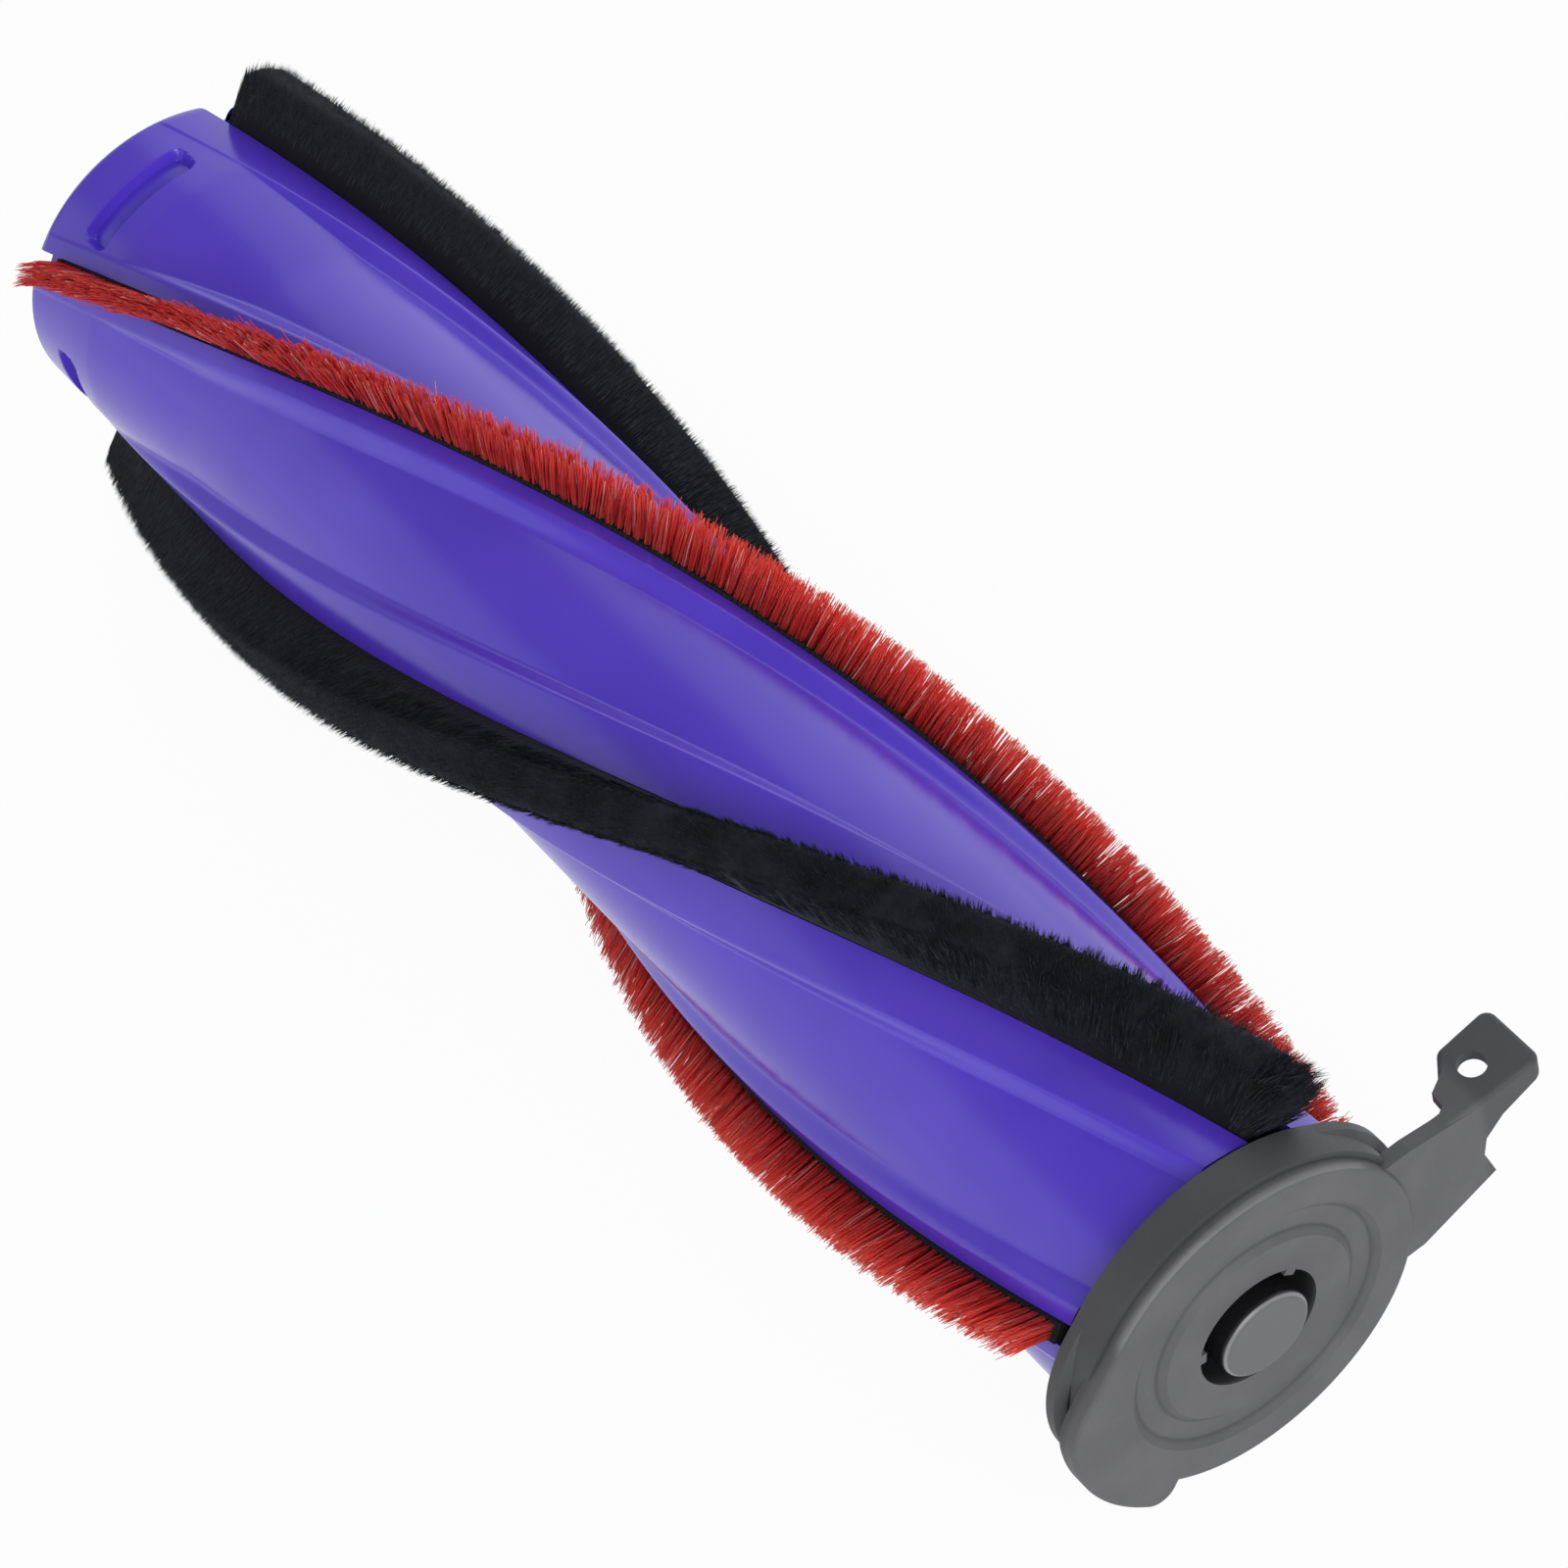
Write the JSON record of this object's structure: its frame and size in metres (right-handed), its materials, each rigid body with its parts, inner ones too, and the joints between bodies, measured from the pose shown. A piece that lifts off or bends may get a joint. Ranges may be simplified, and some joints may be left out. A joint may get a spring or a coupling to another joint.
{
  "type": "vacuum cleaner brush roller",
  "caption": "Brush roller for a vacuum cleaner head: lobed helical tube with soft and stiff bristle strips, turning on a bearing in a fixed end cap with a drilled tab.",
  "frame": {"origin": "on the roller's axis, in the plane of the open drive rim", "axes": "+X along the roller's axis to the end cap, +Z square to the fixing tab's upper face, +Y towards the tab"},
  "size_m": [0.2266, 0.0734, 0.062],
  "materials": {
    "purple_plastic": "glossy moulded",
    "black_backing": "woven",
    "black_filament": "soft carbon fibre pile",
    "red_bristle": "stiff nylon filament",
    "dark_plastic": "moulded",
    "grey_plastic": "fine matte moulded",
    "button_plastic": "satin with a polished edge",
    "bearing_steel": "ground",
    "spring_steel": "blued",
    "felt": "pressed felt"
  },
  "bodies": {
    "cap": {"end_cap": "grey_plastic", "axle_button": "button_plastic", "stub_axle": "bearing_steel", "bearing_inner_ring": "bearing_steel", "thrust_washer": "bearing_steel", "retaining_clip": "spring_steel", "felt_seal": "felt"},
    "roller": {"roller_tube": "purple_plastic", "carbon_backing_1": "black_backing", "carbon_backing_2": "black_backing", "carbon_pile_1": "black_filament", "carbon_pile_2": "black_filament", "nylon_backing_1": "black_backing", "nylon_backing_2": "black_backing", "nylon_bristles_1": "red_bristle", "nylon_bristles_2": "red_bristle", "drive_socket": "dark_plastic", "bearing_hub": "dark_plastic", "bearing_outer_ring": "bearing_steel", "bearing_shield_inner": "bearing_steel", "bearing_shield_outer": "bearing_steel"},
    "ball_set": {"bearing_balls": "bearing_steel", "bearing_cage": "bearing_steel"}
  },
  "joints": [
    {"name": "roller_spin", "type": "hinge", "parent": "cap", "child": "roller", "pos_m": [0.2145, 0, 0], "axis": [1, 0, 0], "continuous": true},
    {"name": "ball_orbit", "type": "hinge", "parent": "cap", "child": "ball_set", "pos_m": [0.2145, 0, 0], "axis": [1, 0, 0], "continuous": true}
  ],
  "couplings": [
    {"joint": "ball_orbit", "follows": "roller_spin", "ratio": 0.6277}
  ]
}
